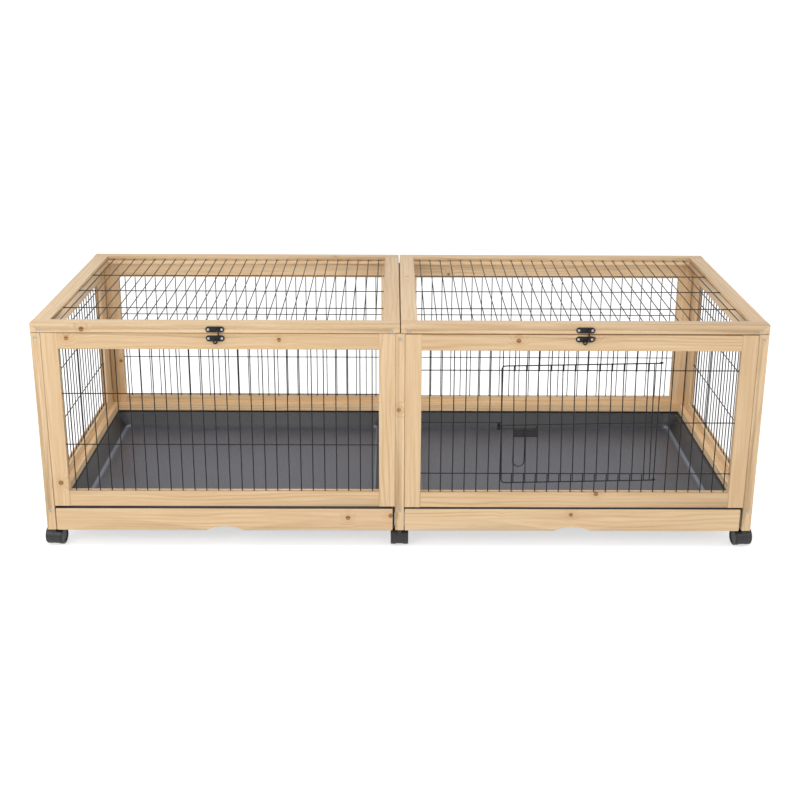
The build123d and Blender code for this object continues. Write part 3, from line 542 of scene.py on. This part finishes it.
def tray_flange_and_shade_strips(side):
    """The tray's edge over its wooden front, and two black strips behind the front's ends:
    partly the flange, partly painted shade that darkens the gaps beside the front.
    """
    front_low, front_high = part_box(side + "_tray_front")
    tray_low, tray_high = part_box(side + "_tray")
    back = (front_high.y + STRIP_CLEARANCE, front_high.y + SHADE_STRIP_THICKNESS)
    tall = (front_low.z + STRIP_SETBACK, tray_high.z - RIM_THICKNESS - STRIP_CLEARANCE)
    spans = [
        (
            (tray_low.x, tray_high.x),
            (front_low.y + STRIP_SETBACK, tray_low.y),
            (front_high.z + STRIP_CLEARANCE, tray_high.z),
        ),
        # Black strips at the front's ends, painted shade for the gaps beside it
        ((front_low.x - SHADE_STRIP_REACH_LEFT, front_low.x + SHADE_STRIP_LAP), back, tall),
        ((front_high.x - SHADE_STRIP_LAP, front_high.x + SHADE_STRIP_REACH_RIGHT), back, tall),
    ]
    work = bmesh.new()
    for span in spans:
        centre = Vector((low + high) / 2 for low, high in span)
        size = [high - low for low, high in span]
        box_at(work, centre, size)
    mesh = bpy.data.meshes.new(side + "_tray_flange_and_shade_strips")
    work.to_mesh(mesh)
    work.free()
    return added_piece(side + "_tray_flange_and_shade_strips", mesh, side + "_tray_drawer", "caster_plastic")


def finish_node(node, material):
    """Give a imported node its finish."""
    mesh_slots = nodes[node].data.materials
    mesh_slots.clear()
    mesh_slots.append(material)


finishes = {
    "black_wire": coated_metal("black_wire", WIRE_BLACK, 0.42, 0.2),
    "black_latch": coated_metal("black_latch", LATCH_BLACK, 0.36, 0.15),
    "steel": steel_material(),
    "tray_plastic": tray_material(),
    "caster_plastic": moulded_material("caster_plastic", CASTER_BLACK, 0.38),
    "wheel_plastic": moulded_material("wheel_plastic", WHEEL_GREY, 0.42),
}
wooden_pieces = []
for part in frame["record"]["subparts"]:
    if part["material_slot"] == "pine":
        wooden_pieces.append(grained_piece(part["node"]))
    elif part["node"].endswith("screws"):
        crossed_screws(part["node"])
    else:
        finish_node(part["node"], finishes[part["material_slot"]])
for side in ("left", "right"):
    tray_bead(side)
    tray_flange_and_shade_strips(side)
pine = pine_material()
for piece in wooden_pieces:
    piece.data.materials.append(pine)

# Floor, light and camera
bpy.ops.mesh.primitive_plane_add(size=FLOOR_SIZE, location=(0.0, 0.0, 0.0))
floor = bpy.context.object
floor.name = "floor"
floor.data.materials.append(floor_material())


def studio_world():
    """An even sky that lights softly, and is white to the camera and in reflections."""
    world = bpy.data.worlds.new("studio")
    world.use_nodes = True
    tree = world.node_tree
    rays = tree.nodes.new("ShaderNodeLightPath")
    seen = rays.outputs["Is Camera Ray"]
    for kind in ("Is Glossy Ray", "Is Transmission Ray"):
        either = tree.nodes.new("ShaderNodeMath")
        either.operation = "MAXIMUM"
        tree.links.new(seen, either.inputs[0])
        tree.links.new(rays.outputs[kind], either.inputs[1])
        seen = either.outputs[0]
    strength = tree.nodes.new("ShaderNodeMapRange")
    tree.links.new(seen, strength.inputs["Value"])
    strength.inputs["To Min"].default_value = SKY_LIGHT
    strength.inputs["To Max"].default_value = SKY_SEEN
    sky = tree.nodes["Background"]
    tree.links.new(strength.outputs[0], sky.inputs["Strength"])
    sky.inputs["Color"].default_value = (1.0, 1.0, 1.0, 1.0)
    return world


def soft_light(name, place, aim, size, power):
    """A rectangular lamp that the camera does not see. power is in watts."""
    lamp = bpy.data.lights.new(name, "AREA")
    lamp.shape = "RECTANGLE"
    lamp.size, lamp.size_y = size
    lamp.energy = power
    holder = linked(name, lamp)
    holder.location = place
    direction = Vector(aim) - Vector(place)
    holder.rotation_euler = direction.to_track_quat("-Z", "Y").to_euler()
    holder.visible_camera = False


bpy.context.scene.world = studio_world()
soft_light("left_light", (-1.5, -2.1, 1.35), (-0.35, -0.2, 0.2), FRONT_LAMP, power=16.0)
soft_light("right_light", (1.5, -2.2, 1.35), (0.35, -0.2, 0.2), FRONT_LAMP, power=6.0)
soft_light("top_light", (-0.4, -1.0, 2.6), (0.0, 0.1, 0.2), TOP_LAMP, power=17.0)
for side, x in BAY_MIDDLES.items():
    soft_light(side + "_fill", (x, -0.24, 0.45), (x, 0.30, 0.08), FILL_LAMP, power=0.9)

camera_data = bpy.data.cameras.new("camera")
camera_data.lens = CAMERA_LENS
camera_data.sensor_width = CAMERA_SENSOR
camera_data.clip_end = CAMERA_FAR
camera = linked("camera", camera_data)
turn = Matrix.Rotation(CAMERA_YAW, 4, "Z")
tilt = Matrix.Rotation(math.radians(90) + CAMERA_PITCH, 4, "X")
roll = Matrix.Rotation(CAMERA_ROLL, 4, "Z")
camera.matrix_world = Matrix.Translation(CAMERA_PLACE) @ turn @ tilt @ roll
bpy.context.scene.camera = camera
bpy.context.scene.view_settings.view_transform = "Standard"
